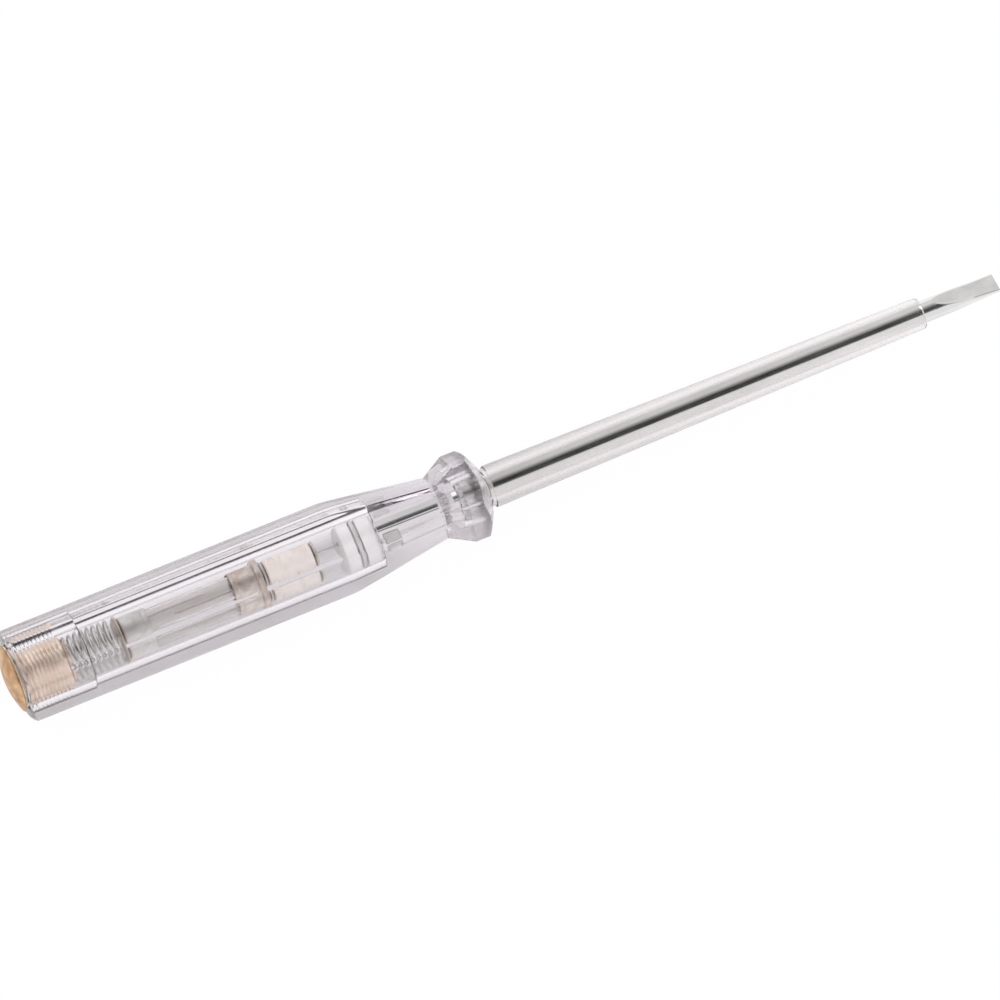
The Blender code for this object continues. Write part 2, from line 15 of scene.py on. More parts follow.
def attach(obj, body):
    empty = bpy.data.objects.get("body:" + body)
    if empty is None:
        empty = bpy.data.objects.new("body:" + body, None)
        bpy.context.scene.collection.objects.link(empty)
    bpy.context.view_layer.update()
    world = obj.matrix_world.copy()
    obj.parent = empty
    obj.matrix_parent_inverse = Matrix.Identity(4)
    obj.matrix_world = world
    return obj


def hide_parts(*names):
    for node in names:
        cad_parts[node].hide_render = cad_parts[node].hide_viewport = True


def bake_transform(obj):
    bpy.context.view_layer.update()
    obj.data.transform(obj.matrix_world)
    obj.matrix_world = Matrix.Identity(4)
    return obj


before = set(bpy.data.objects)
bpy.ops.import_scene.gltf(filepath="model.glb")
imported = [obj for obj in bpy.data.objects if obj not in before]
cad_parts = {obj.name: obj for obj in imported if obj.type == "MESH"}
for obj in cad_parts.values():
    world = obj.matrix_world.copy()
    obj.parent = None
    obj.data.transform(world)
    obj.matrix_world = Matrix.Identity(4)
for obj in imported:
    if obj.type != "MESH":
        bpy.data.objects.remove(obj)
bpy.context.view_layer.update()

# Place of the tool in the frame

MM = 0.001
REAR_X = -93.1
AXIS_Z = 7.65
TIP_TURN = math.radians(24.0)

# Sizes of the handle, outside

HALF_FLAT = 7.65
NECK_HALF_FLAT = 5.22
COLLAR_HALF_FLAT = 7.28
CORNER_RADIUS = 0.9
SHOULDER = 61.5
SHOULDER_BLEND = 3.0
NECK = 80.3
COLLAR_REAR = 84.5
NOSE = 89.3
NOSE_LENGTH = 3.0
NOSE_RADIUS = 4.5
NOSE_POWER = 1.35
REAR_RADIUS = 6.6
REAR_ROUNDING = 1.9
REAR_CROWDED = 2.0
REAR_STEPS = 24
# The turned form between the rear rim and the nose, clear of the hexagon's corners.
TURNED_RADIUS = 9.2
TRIM_SOFTNESS = 0.10
CORNER_STEPS = 8
# Points along each flat, as shares of its width, with one close to each corner.
FLAT_SHARES = (0.015, 0.12, 0.24, 0.36, 0.5, 0.64, 0.76, 0.88, 0.985)

# Sizes of the handle, inside

BORE_SIDES = 144
BORE_MOUTH = [(0.0, 6.3), (0.0, 5.9), (0.0, 5.75)]
BORE_THREAD = {"start": 0.15, "end": 9.0, "radius": 5.62, "depth": 0.10, "margin": 0.2}
BORE_STEP = [(9.3, 5.62), (11.0, 5.62), (12.6, 5.62), (12.7, 5.55), (12.7, 5.3), (12.7, 5.08)]
CHAMBER_RADIUS = 5.0
CHAMBER_REAR = 12.8
# Start, end and step of the stations along the chamber's wall.
CHAMBER_WALL = (14.0, 67.9, 4.0)
CHAMBER_FRONT = 67.95
CHAMBER_FLOOR = [(68.1, 4.85), (68.1, 3.0), (68.1, 1.2)]
SOCKET = [
    (NOSE, 4.2), (NOSE, 3.95), (NOSE, 3.85),
    (NOSE - 0.1, 3.8), (NOSE - 2.0, 3.8), (NOSE - 4.0, 3.8), (NOSE - 4.9, 3.8),
    (NOSE - 5.0, 3.7), (NOSE - 5.0, 2.6), (NOSE - 5.0, 1.2),
]

# Sizes that all turned pieces share

# Radius that stands for a point on the axis.
AXIS_RADIUS = 0.002
# Most of a side that the rounding of one corner takes.
ROUNDING_SHARE = 0.45
ROUNDING_STEPS = 3

# Sizes of the thread and the screw cap

THREAD_PITCH = 0.75
THREAD_RINGS_PER_PITCH = 8
CAP_SIDES = 144
DOME_TOP = -1.9
DOME_RADIUS = 6.2
DOME_HEIGHT = 1.3
DOME_STEPS = 15
CAP_RIM = [
    (-0.66, 6.10), (-0.58, 6.18), (-0.48, 6.20), (-0.38, 6.17), (-0.32, 6.05), (-0.30, 5.80),
    (-0.30, 5.30), (-0.20, 5.05), (0.20, 5.02),
]
CAP_THREAD = {"start": 0.35, "end": 8.85, "radius": 5.22, "depth": 0.18, "margin": 0.1}
CAP_SPIGOT = [
    (8.95, 5.00), (9.08, 4.86), (9.18, 4.60), (9.20, 4.20), (9.20, 3.2), (9.28, 3.02),
    (9.60, 3.0), (9.88, 2.98), (9.98, 2.88), (10.0, 2.6), (10.0, 1.2),
]

# Sizes of the spring

SPRING_TURNS = 8
SPRING_STEPS_PER_TURN = 36
SPRING_RADIUS = 4.4
SPRING_REAR = 9.72
SPRING_FRONT = 18.78
SPRING_WIRE_RADIUS = 0.2
SPRING_WIRE_SIDES = 10

# Outlines of the pieces in the chamber

DISC = [(19.3, 0.0), (19.3, 4.6), (19.6, 4.6), (19.6, 0.0)]
REAR_FERRULE = [
    (19.9, 0.0), (19.9, 3.3), (19.98, 3.62), (20.25, 3.8),
    (24.0, 3.8), (24.15, 3.72), (24.3, 3.72), (24.45, 3.8),
    (25.0, 3.8), (25.08, 3.72), (25.1, 3.5), (25.0, 3.45),
    (20.5, 3.45), (20.4, 3.3), (20.4, 0.0),
]
FRONT_FERRULE = [
    (46.45, 0.0), (46.45, 4.55), (46.35, 4.68), (46.05, 4.7), (45.6, 4.7), (45.4, 4.6),
    (45.3, 4.0), (45.15, 3.8), (41.95, 3.8), (41.8, 3.7), (41.65, 3.7), (41.5, 3.8),
    (40.95, 3.8), (40.85, 3.7), (40.85, 3.5), (40.95, 3.45),
    (45.85, 3.45), (45.95, 3.3), (45.95, 0.0),
]
GLASS_TUBE = [(20.7, 3.15), (45.65, 3.15), (45.65, 2.65), (20.7, 2.65)]
RESISTOR_ROD = [
    (47.55, 0.0), (47.55, 3.3), (47.7, 3.46), (48.0, 3.5),
    (55.8, 3.5), (56.15, 3.46), (56.3, 3.3), (56.3, 0.0),
]
RESISTOR_END = [(0.0, 0.0), (0.0, 3.3), (0.15, 3.48), (0.35, 3.48), (0.5, 3.3), (0.5, 0.0)]
RESISTOR_REAR_AT = 46.75
RESISTOR_FRONT_AT = 56.6
BUSH = [
    (61.4, 0.8), (61.4, 4.5), (61.6, 4.7), (63.5, 4.7), (63.6, 4.6), (63.6, 3.6),
    (64.9, 3.6), (64.9, 4.6), (65.0, 4.7), (66.8, 4.7), (67.25, 4.55), (67.65, 4.2),
    (67.8, 3.7), (67.8, 2.1), (66.9, 2.1), (66.9, 0.8),
]
GROOVE_RING = [(63.9, 3.9), (63.9, 4.55), (64.0, 4.68), (64.5, 4.68), (64.6, 4.55), (64.6, 3.9)]
HEADED_PIN = [
    (62.5, 0.0), (62.5, 0.35), (62.65, 0.5), (67.1, 0.5), (67.2, 0.6), (67.2, 1.5),
    (67.3, 1.6), (67.65, 1.6), (67.8, 1.4), (67.8, 0.0),
]

# Sizes of the blade and the sleeve

SHANK_RADIUS = 2.0
SHANK_REAR = [68.0, 68.1]
SHANK_EVEN_FROM = 72.0
SHANK_STEP = 8.0
TIP_END = 188.1
GRIND_LENGTH = 12.2
GRIND_STEPS = 48
GRIND_HOLLOW = 0.10
TIP_HALF_THICKNESS = 0.4
# Most that the flats stand off the axis, as a share of the bar's radius.
FLAT_LIMIT = math.cos(math.pi / 96)
RIDGE_RADIUS = 0.8
RIDGE_SHARE = 0.9
ROUND_STEPS = 16
RIDGE_STEPS = 12
RIDGE_FLAT_SHARES = (0.05, 0.35, 0.7)
EARS_AT = 70.4
EARS_SIZE = (3.0, 6.4, 1.0)
EARS_CORNER = 0.8
EARS_CORNER_STEPS = 6
EARS_LIP = 0.15
EARS_LIP_STEPS = 3
# Most that the ends of an edge differ in height where the edge counts as level.
LEVEL_EDGE = 0.001
SLEEVE_ROOT = [
    (84.6, 3.42), (84.72, 3.5), (90.3, 3.5), (90.4, 3.55), (90.4, 3.75), (90.5, 3.87), (90.9, 3.88),
]
SLEEVE_TAPER_END = (173.1, 2.90)
SLEEVE_FRONT = [(173.4, 2.82), (173.6, 2.66), (173.7, 2.48), (173.7, 2.36), (173.6, 2.3)]
SLEEVE_BORE_REAR = [(84.7, 2.3), (84.6, 2.36)]
SLEEVE_STEPS = 12
SLEEVE_SIDES = 144

# Limits of wear and tarnish: by how upright a face is, by radius and by station

FLANKS_TO_FLATS = (0.60, 0.85)
BORE_TO_OUTSIDE = (6.6, 7.0)
NECK_TO_COLLAR = (COLLAR_REAR - 1.5, COLLAR_REAR + 0.5)
DOME_TO_PLUG = (-0.3, 0.1)

# Limits of the tip's ground faces, by how closely their normals match a direction

MATCHES_FLAT = 0.985
MATCHES_AXIS = 0.9
LEANS_TO_AXIS = 0.5

# Camera

# From the tool towards the camera, as in the photograph.
VIEW_DIRECTION = Vector((-0.165, -0.197, 0.967)).normalized()
VIEW_ROLL = math.radians(21.944)
VIEW_DISTANCE = 3000.0
VIEW_LIMIT = 10000.0
# How far the tool's middle lies right of and above the picture's middle.
VIEW_PAST_RIGHT = 0.53
VIEW_PAST_TOP = 3.31
PICTURE_PIXELS = 1000.0
PIXELS_PER_MM = 5.698
SENSOR_WIDTH = 36.0

# Stage and light

FLOOR_HALF_SIZE = 1500.0
FLOOR_HEIGHT = -0.2
FLOOR_COLOR = (0.74, 0.715, 0.735, 1.0)
# Share of plain white that each kind of ray sees in the floor.
FLOOR_GLOW = (("Is Camera Ray", 0.97), ("Is Glossy Ray", 0.25), ("Is Transmission Ray", 0.45))
WHITE = (1.0, 1.0, 1.0, 1.0)
# Brightness of the studio by the angle in degrees round the tool's axis, from the viewing side
# and positive towards -Y. The dark stretch is the opening that the tool is looked at through.
STUDIO_ROUND_AXIS = (
    (-30.0, 1.0), (-19.0, 0.05), (14.0, 0.05), (30.0, 0.35), (52.0, 0.82), (180.0, 0.82),
)
# The same without the opening, for light from the tool's ends.
STUDIO_PLAIN = ((-60.0, 1.0), (60.0, 0.82))
# Share of that plain light, by how nearly a direction runs along the tool's axis.
STUDIO_ENDS = ((0.20, 0.0), (0.34, 1.0))
# Even brightness of the studio for light that matt surfaces scatter.
STUDIO_SOFT = 1.5
LAMP_PLACE = (-600.0, 900.0, 1200.0)
LAMP_SIZE = 1200.0
LAMP_POWER = 3.0


# Geometry helpers

def to_world(along, y, z):
    """World point in metres of a place given from the rear face and from the tool's axis."""
    return Vector(((REAR_X + along) * MM, y * MM, (AXIS_Z + z) * MM))


def link(name, mesh, sharp_deg=30.0):
    """Adds a mesh as an object with smooth shading and sharp edges."""
    mesh.shade_smooth()
    mesh.set_sharp_from_angle(angle=math.radians(sharp_deg))
    piece = bpy.data.objects.new(name, mesh)
    bpy.context.scene.collection.objects.link(piece)
    return piece


def dress(piece, surface, slot, body, *nodes):
    """Gives a piece its material and the body it rides on, and hides the nodes it stands for. The slot is
    not used.
    """
    piece.data.materials.append(surface)
    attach(piece, body)
    if nodes:
        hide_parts(*nodes)


def face_outwards(shape, mesh):
    """Turns a shape's faces the right way round, writes them to a mesh and frees the shape."""
    bmesh.ops.recalc_face_normals(shape, faces=shape.faces)
    shape.to_mesh(mesh)
    shape.free()
    return mesh


def mesh_from(name, verts, faces):
    """Mesh of points and faces, with its faces turned the right way round."""
    mesh = bpy.data.meshes.new(name)
    mesh.from_pydata(verts, [], faces)
    shape = bmesh.new()
    shape.from_mesh(mesh)
    return face_outwards(shape, mesh)


def skin_faces(count, pairs):
    """Quads between pairs of rings that have the same count of points."""
    faces = []
    for a, b in pairs:
        for i in range(count):
            j = (i + 1) % count
            faces.append((a * count + i, a * count + j, b * count + j, b * count + i))
    return faces


def ring_mesh(name, rings, close_start=False, close_end=False, closed_loop=False):
    """Skins a list of rings, each a list of (along, y, z) with equal counts."""
    count = len(rings[0])
    verts = [to_world(*p) for ring in rings for p in ring]
    pairs = list(zip(range(len(rings)), range(1, len(rings))))
    if closed_loop:
        pairs.append((len(rings) - 1, 0))
    faces = skin_faces(count, pairs)
    for wanted, ring in ((close_start, 0), (close_end, len(rings) - 1)):
        if wanted:
            center = len(verts)
            mean = sum((Vector(p) for p in rings[ring]), Vector()) / count
            verts.append(to_world(*mean))
            for i in range(count):
                faces.append((center, ring * count + i, ring * count + (i + 1) % count))
    return mesh_from(name, verts, faces)


def rounded(outline, radius):
    """Rounds the inner corners of an open outline, as far as its sides allow."""
    out = [outline[0]]
    for before, corner, after in zip(outline, outline[1:], outline[2:]):
        a = Vector(before) - Vector(corner)
        b = Vector(after) - Vector(corner)
        cut = min(radius, a.length * ROUNDING_SHARE, b.length * ROUNDING_SHARE)
        start = Vector(corner) + a.normalized() * cut
        end = Vector(corner) + b.normalized() * cut
        for i in range(ROUNDING_STEPS + 1):
            t = i / ROUNDING_STEPS
            p = start * (1 - t) ** 2 + Vector(corner) * 2 * t * (1 - t) + end * t ** 2
            out.append((p.x, p.y))
    out.append(outline[-1])
    return out


def circles(outline, count):
    """Ring of points about the tool's axis for each point of an outline."""
    turns = [math.tau * i / count for i in range(count)]
    return [
        [(along, radius * math.cos(t), radius * math.sin(t)) for t in turns]
        for along, radius in outline
    ]


def turned(name, outline, count, round_by=0.0, tube=False):
    """Turned piece from an open outline. A tube's outline is closed on itself."""
    if round_by and tube:
        outline = rounded([outline[-1]] + outline + [outline[0]], round_by)[1:-1]
    elif round_by:
        outline = rounded(outline, round_by)
    rings = circles([(along, max(radius, AXIS_RADIUS)) for along, radius in outline], count)
    return link(name, ring_mesh(name, rings, not tube, not tube, closed_loop=tube))


def steps_between(start, end, step):
    """Even stations from start up to, but not including, end."""
    count = max(1, int(round((end - start) / step)))
    return [start + (end - start) * i / count for i in range(count)]


def straight(start, end, steps):
    """Even points of an outline after start, up to and including end."""
    return [
        (start[0] + (end[0] - start[0]) * i / steps, start[1] + (end[1] - start[1]) * i / steps)
        for i in range(1, steps + 1)
    ]


def thread_shift(along, turn, start, end, depth):
    """Radial shift of a right-hand thread's rounded flanks, fading out over its last turns."""
    if not start < along < end:
        return 0.0
    phase = (along / THREAD_PITCH - turn / math.tau) % 1.0
    wave = 1.0 - 2.0 * abs(2.0 * phase - 1.0)
    wave = wave * (1.5 - 0.5 * wave * wave)
    fade = min(1.0, (along - start) / THREAD_PITCH, (end - along) / THREAD_PITCH)
    return depth * 0.5 * wave * fade


def thread_rings(count, start, end, radius, depth, margin):
    """Rings of a threaded stretch."""
    steps = int(round((end - start) / THREAD_PITCH * THREAD_RINGS_PER_PITCH))
    rings = []
    for i in range(steps + 1):
        along = start + (end - start) * i / steps
        ring = []
        for k in range(count):
            turn = math.tau * k / count
            r = radius + thread_shift(along, turn, start + margin, end - margin, depth)
            ring.append((along, r * math.cos(turn), r * math.sin(turn)))
        rings.append(ring)
    return rings


# Node helpers for the materials and the world

class Nodes:
    """Adds nodes to the shader of a material or a world, and joins them."""

    def __init__(self, holder):
        self.holder = holder
        self.holder.use_nodes = True
        self.tree = holder.node_tree
        self.shader = self.tree.nodes.get("Principled BSDF")

    def add(self, kind, **settings):
        """New node of a kind, with its settings."""
        node = self.tree.nodes.new(kind)
        for key, value in settings.items():
            setattr(node, key, value)
        return node

    def feed(self, value, socket):
        """Joins a node's output to a socket, or sets the socket to a number, colour or vector."""
        if isinstance(value, bpy.types.NodeSocket):
            self.tree.links.new(value, socket)
        else:
            socket.default_value = value

    def set(self, name, value):
        """Feeds one of the shader's own sockets."""
        self.feed(value, self.shader.inputs[name])

    def place(self, scale=(1.0, 1.0, 1.0), shift=(0.0, 0.0, 0.0)):
        """Object coordinates in metres, stretched and shifted."""
        mapping = self.add("ShaderNodeMapping")
        self.feed(scale, mapping.inputs["Scale"])
        self.feed(shift, mapping.inputs["Location"])
        self.feed(self.add("ShaderNodeTexCoord").outputs["Object"], mapping.inputs["Vector"])
        return mapping.outputs["Vector"]

    def noise(self, scale, stretch=(1.0, 1.0, 1.0), detail=3.0, rough=0.5):
        made = self.add("ShaderNodeTexNoise")
        self.feed(scale, made.inputs["Scale"])
        self.feed(detail, made.inputs["Detail"])
        self.feed(rough, made.inputs["Roughness"])
        self.feed(self.place(stretch), made.inputs["Vector"])
        return made.outputs["Fac"]

    def remap(self, value, source, target):
        """Stretches the range source of a value over the range target, and holds it there."""
        made = self.add("ShaderNodeMapRange")
        self.feed(source[0], made.inputs["From Min"])
        self.feed(source[1], made.inputs["From Max"])
        self.feed(target[0], made.inputs["To Min"])
        self.feed(target[1], made.inputs["To Max"])
        self.feed(value, made.inputs["Value"])
        return made.outputs["Result"]

    def ramp(self, value, *stops):
        """Colour ramp through stops, each a place from 0 to 1 and a colour."""
        made = self.add("ShaderNodeValToRGB")
        elements = made.color_ramp.elements
        while len(elements) < len(stops):
            elements.new(0.5)
        for element, (position, color) in zip(elements, stops):
            element.position = position
            element.color = (*color, 1.0)
        self.feed(value, made.inputs["Fac"])
        return made.outputs["Color"]

    def bump(self, height, strength, distance, after=None):
        """Bump of a height, with its distance in metres, on top of an earlier bump if there is one."""
        made = self.add("ShaderNodeBump")
        self.feed(strength, made.inputs["Strength"])
        self.feed(distance, made.inputs["Distance"])
        self.feed(height, made.inputs["Height"])
        if after is not None:
            self.feed(after, made.inputs["Normal"])
        return made.outputs["Normal"]

    def calculate(self, operation, *values):
        """Sum, product or other operation on numbers."""
        made = self.add("ShaderNodeMath", operation=operation)
        for value, socket in zip(values, made.inputs):
            self.feed(value, socket)
        return made.outputs[0]

    def mix(self, share, first, second):
        """Mix of two colours."""
        made = self.add("ShaderNodeMix", data_type="RGBA")
        for value, socket in ((share, "Factor"), (first, 6), (second, 7)):
            self.feed(value, made.inputs[socket])
        return made.outputs[2]

    def mix_shaders(self, share, first, second):
        """Mix of two shaders."""
        made = self.add("ShaderNodeMixShader")
        for value, socket in zip((share, first, second), made.inputs):
            self.feed(value, socket)
        return made.outputs[0]

    def part(self, vector, name):
        """One of the three parts of a vector."""
        parts = self.add("ShaderNodeSeparateXYZ")
        self.feed(vector, parts.inputs[0])
        return parts.outputs[name]

    def upright(self):
        """How far the surface faces straight up or down, from 0 to 1."""
        normal = self.add("ShaderNodeTexCoord").outputs["Normal"]
        return self.calculate("ABSOLUTE", self.part(normal, "Z"))

    def off_axis(self):
        """Distance from the tool's axis in millimetres."""
        length = self.add("ShaderNodeVectorMath", operation="LENGTH")
        self.feed(self.place((0.0, 1.0 / MM, 1.0 / MM), (0.0, 0.0, -AXIS_Z)), length.inputs[0])
        return length.outputs["Value"]

    def along(self):
        """Station in millimetres from the handle's rear face, as it is at rest."""
        return self.part(self.place((1.0 / MM, 1.0, 1.0), (-REAR_X, 0.0, 0.0)), "X")


def new_material(name):
    """Nodes of a new material."""
    return Nodes(bpy.data.materials.new(name))


# Materials

def clear_plastic(name, tint, hue, density, streaks, waviness, scuff=0.0, collar_wear=0.0):
    """Clear moulded plastic with long flow streaks and faint sink waves.

    Hue is the colour that it takes on in the thick, and density how fast it does.
    Scuff is the roughness that handling leaves on the flanks; the top and bottom flats stay polished.
    Collar wear is the roughness of the guard collar, which knocks against whatever the tool is laid on.
    """
    n = new_material(name)
    n.set("Base Color", (*tint, 1.0))
    n.set("Transmission Weight", 1.0)
    n.set("IOR", 1.49)
    flow = n.noise(900.0, stretch=(0.10, 1.0, 1.0), detail=2.0)
    polish = n.remap(flow, (0.35, 0.75), (0.0, 0.05))
    if scuff:
        rubbed = n.noise(420.0, stretch=(0.12, 1.0, 1.0), detail=4.0, rough=0.6)
        rubbed = n.remap(rubbed, (0.3, 0.7), (0.35 * scuff, scuff))
        sides = n.remap(n.upright(), FLANKS_TO_FLATS, (1.0, 0.0))
        outside = n.remap(n.off_axis(), BORE_TO_OUTSIDE, (0.0, 1.0))
        flanks = n.calculate("MULTIPLY", sides, outside)
        polish = n.calculate("ADD", polish, n.calculate("MULTIPLY", rubbed, flanks))
        dents = n.noise(620.0, detail=4.0, rough=0.6)
        dents = n.remap(dents, (0.3, 0.7), (0.5 * collar_wear, collar_wear))
        collar = n.remap(n.along(), NECK_TO_COLLAR, (0.0, 1.0))
        polish = n.calculate("ADD", polish, n.calculate("MULTIPLY", dents, collar))
    n.set("Roughness", polish)
    wave = n.noise(160.0, stretch=(0.35, 1.0, 1.0), detail=1.0)
    sink = n.bump(wave, strength=waviness, distance=0.0006)
    n.set("Normal", n.bump(flow, strength=streaks, distance=0.00012, after=sink))
    body = n.add("ShaderNodeVolumeAbsorption")
    n.feed(density, body.inputs["Density"])
    n.feed((*hue, 1.0), body.inputs["Color"])
    n.feed(body.outputs["Volume"], n.tree.nodes["Material Output"].inputs["Volume"])
    return n.holder


def lamp_glass_material():
    """Drawn glass tube with faint lengthwise draw lines and a milky haze."""
    n = new_material("lamp_glass_hazy")
    n.set("Base Color", (1.0, 0.975, 0.955, 1.0))
    n.set("Transmission Weight", 0.86)
    n.set("IOR", 1.50)
    lines = n.noise(2200.0, stretch=(0.03, 1.0, 1.0), detail=2.0)
    n.set("Roughness", n.remap(lines, (0.3, 0.8), (0.02, 0.10)))
    n.set("Normal", n.bump(lines, strength=0.06, distance=0.0001))
    return n.holder


def turned_metal(name, base, dark, rough, lines=0.25, grime=0.35):
    """Turned or drawn metal: tool rings round the axis, uneven polish and darker stains."""
    n = new_material(name)
    n.set("Metallic", 1.0)
    stain = n.noise(420.0, detail=4.0, rough=0.6)
    n.set("Base Color", n.ramp(stain, (0.30, dark), (0.30 + grime, base), (1.0, base)))
    polish = n.noise(1500.0, stretch=(2.5, 0.6, 0.6))
    n.set("Roughness", n.remap(polish, (0.3, 0.75), rough))
    rings = n.noise(5200.0, stretch=(1.0, 0.02, 0.02), detail=2.0)
    n.set("Normal", n.bump(rings, strength=lines, distance=0.00004))
    return n.holder


def plated_steel():
    """Polished plated bar with very fine lengthwise polish marks."""
    n = new_material("plated_steel")
    n.set("Metallic", 1.0)
    cloud = n.noise(260.0, stretch=(0.25, 1.0, 1.0))
    n.set("Base Color", n.ramp(cloud, (0.25, (0.70, 0.695, 0.69)), (0.7, (0.86, 0.855, 0.85))))
    marks = n.noise(3800.0, stretch=(0.035, 1.0, 1.0))
    n.set("Roughness", n.remap(marks, (0.3, 0.75), (0.07, 0.17)))
    n.set("Normal", n.bump(marks, strength=0.10, distance=0.00003))
    return n.holder


def ground_steel():
    """Ground flats of the tip: fine marks across the blade under thin plating."""
    n = new_material("ground_steel")
    n.set("Metallic", 1.0)
    cloud = n.noise(500.0)
    n.set("Base Color", n.ramp(cloud, (0.25, (0.66, 0.65, 0.64)), (0.75, (0.82, 0.81, 0.80))))
    marks = n.noise(5200.0, stretch=(1.0, 0.06, 0.06))
    n.set("Roughness", n.remap(marks, (0.3, 0.75), (0.18, 0.36)))
    n.set("Normal", n.bump(marks, strength=0.35, distance=0.00004))
    return n.holder


def moulded_white():
    """White moulded plastic with a faint flow mottle."""
    n = new_material("moulded_white")
    mottle = n.noise(700.0, stretch=(0.5, 1.0, 1.0))
    n.set("Base Color", n.ramp(mottle, (0.3, (0.90, 0.89, 0.89)), (0.7, (0.96, 0.955, 0.95))))
    n.set("Roughness", n.remap(mottle, (0.3, 0.7), (0.32, 0.48)))
    n.set("Subsurface Weight", 0.05)
    n.set("Subsurface Scale", 0.001)
    n.set("Normal", n.bump(n.noise(2600.0), strength=0.12, distance=0.00005))
    return n.holder


def lacquered_ceramic():
    """Beige lacquer over the resistor's ceramic rod, with brush marks and specks."""
    n = new_material("lacquered_ceramic")
    coat = n.noise(900.0, stretch=(1.0, 0.3, 0.3), detail=4.0)
    beiges = (0.25, (0.84, 0.75, 0.68)), (0.55, (0.92, 0.86, 0.81)), (0.8, (0.95, 0.91, 0.88))
    n.set("Base Color", n.ramp(coat, *beiges))
    n.set("Roughness", n.remap(coat, (0.3, 0.7), (0.22, 0.40)))
    n.set("Normal", n.bump(n.noise(3200.0), strength=0.2, distance=0.00005))
    return n.holder


def ring_rubber():
    """Grey rubber with a fine matt grain."""
    n = new_material("grey_rubber")
    grain = n.noise(4200.0, detail=4.0)
    n.set("Base Color", n.ramp(grain, (0.3, (0.62, 0.61, 0.61)), (0.7, (0.74, 0.73, 0.73))))
    n.set("Roughness", n.remap(grain, (0.3, 0.7), (0.45, 0.65)))
    n.set("Normal", n.bump(grain, strength=0.25, distance=0.00005))
    return n.holder


def copper_plate():
    """Copper-plated cap: bright in the bore, tarnished golden brown on the dome that a finger touches."""
    n = new_material("copper_plate")
    n.set("Metallic", 1.0)
    stain = n.noise(380.0, detail=4.0, rough=0.6)
    browns = (0.32, (0.38, 0.20, 0.09)), (0.5, (0.57, 0.36, 0.19)), (0.68, (0.74, 0.56, 0.33))
    pinks = (0.25, (0.88, 0.67, 0.53)), (0.5, (0.96, 0.79, 0.66)), (0.8, (0.98, 0.87, 0.76))
    inside = n.remap(n.along(), DOME_TO_PLUG, (0.0, 1.0))
    n.set("Base Color", n.mix(inside, n.ramp(stain, *browns), n.ramp(stain, *pinks)))
    polish = n.noise(1300.0, stretch=(2.0, 0.7, 0.7))
    n.set("Roughness", n.remap(polish, (0.3, 0.75), (0.30, 0.48)))
    rings = n.noise(4200.0, stretch=(1.0, 0.05, 0.05), detail=2.0)
    n.set("Normal", n.bump(rings, strength=0.2, distance=0.00005))
    return n.holder


# Handle

def half_flat_at(along):
    """Half the distance across the handle's flats at a station."""
    slope = (NECK_HALF_FLAT - HALF_FLAT) / (NECK - SHOULDER)
    blend_start = SHOULDER - SHOULDER_BLEND / 2
    if along <= blend_start:
        return HALF_FLAT
    if along <= blend_start + SHOULDER_BLEND:
        return HALF_FLAT + slope * (along - blend_start) ** 2 / (2 * SHOULDER_BLEND)
    if along <= NECK:
        return HALF_FLAT + slope * (along - SHOULDER)
    if along <= COLLAR_REAR:
        share = (along - NECK) / (COLLAR_REAR - NECK)
        return NECK_HALF_FLAT + (COLLAR_HALF_FLAT - NECK_HALF_FLAT) * share
    return COLLAR_HALF_FLAT


def envelope_at(along):
    """Radius of the turned form that rounds the rear rim and domes the nose."""
    if along < REAR_ROUNDING:
        share = 1.0 - along / REAR_ROUNDING
        return REAR_RADIUS + (TURNED_RADIUS - REAR_RADIUS) * math.sqrt(max(0.0, 1.0 - share * share))
    if along > NOSE - NOSE_LENGTH:
        share = (along - NOSE + NOSE_LENGTH) / NOSE_LENGTH
        return NOSE_RADIUS + (TURNED_RADIUS - NOSE_RADIUS) * (1.0 - share ** NOSE_POWER)
    return TURNED_RADIUS


def corner_point(corner, middle, angle):
    """Point at an angle on the rounding of the hexagon's corner in the direction middle."""
    return Vector((
        corner * math.cos(middle) + CORNER_RADIUS * math.cos(angle),
        corner * math.sin(middle) + CORNER_RADIUS * math.sin(angle),
    ))


def hexagon_ring(along):
    """Handle section: rounded hexagon, trimmed smoothly to the turned form."""
    limit = envelope_at(along)
    corner = (half_flat_at(along) - CORNER_RADIUS) / math.cos(math.pi / 6)
    points = []
    for k in range(6):
        middle = math.tau * k / 6
        for i in range(CORNER_STEPS + 1):
            angle = middle - math.pi / 6 + math.pi / 3 * i / CORNER_STEPS
            points.append(corner_point(corner, middle, angle))
        last = points[-1]
        following = middle + math.pi / 3
        target = corner_point(corner, following, following - math.pi / 6)
        points += [last.lerp(target, share) for share in FLAT_SHARES]
    ring = []
    for p in points:
        low = min(p.length, limit)
        gap = abs(p.length - limit)
        if gap < TRIM_SOFTNESS:
            low -= (TRIM_SOFTNESS - gap) ** 2 / (4 * TRIM_SOFTNESS)
        trimmed = p * (low / p.length)
        ring.append((along, trimmed.x, trimmed.y))
    return ring


def handle_stations():
    """Stations of the handle's sections, crowded where its outline bends."""
    blend_start = SHOULDER - SHOULDER_BLEND / 2
    blend_end = SHOULDER + SHOULDER_BLEND / 2
    nose_start = NOSE - NOSE_LENGTH
    stations = []
    for i in range(REAR_STEPS):
        stations.append(REAR_CROWDED * (1.0 - math.cos(math.pi / 2 * i / REAR_STEPS)))
    for start, end, step in (
        (REAR_CROWDED, blend_start, 4.0),
        (blend_start, blend_end, 0.3),
        (blend_end, NECK, 2.0),
        (NECK, COLLAR_REAR, 0.2),
        (COLLAR_REAR, nose_start, 0.3),
        (nose_start, NOSE, 0.08),
    ):
        stations += steps_between(start, end, step)
    return stations + [NOSE]


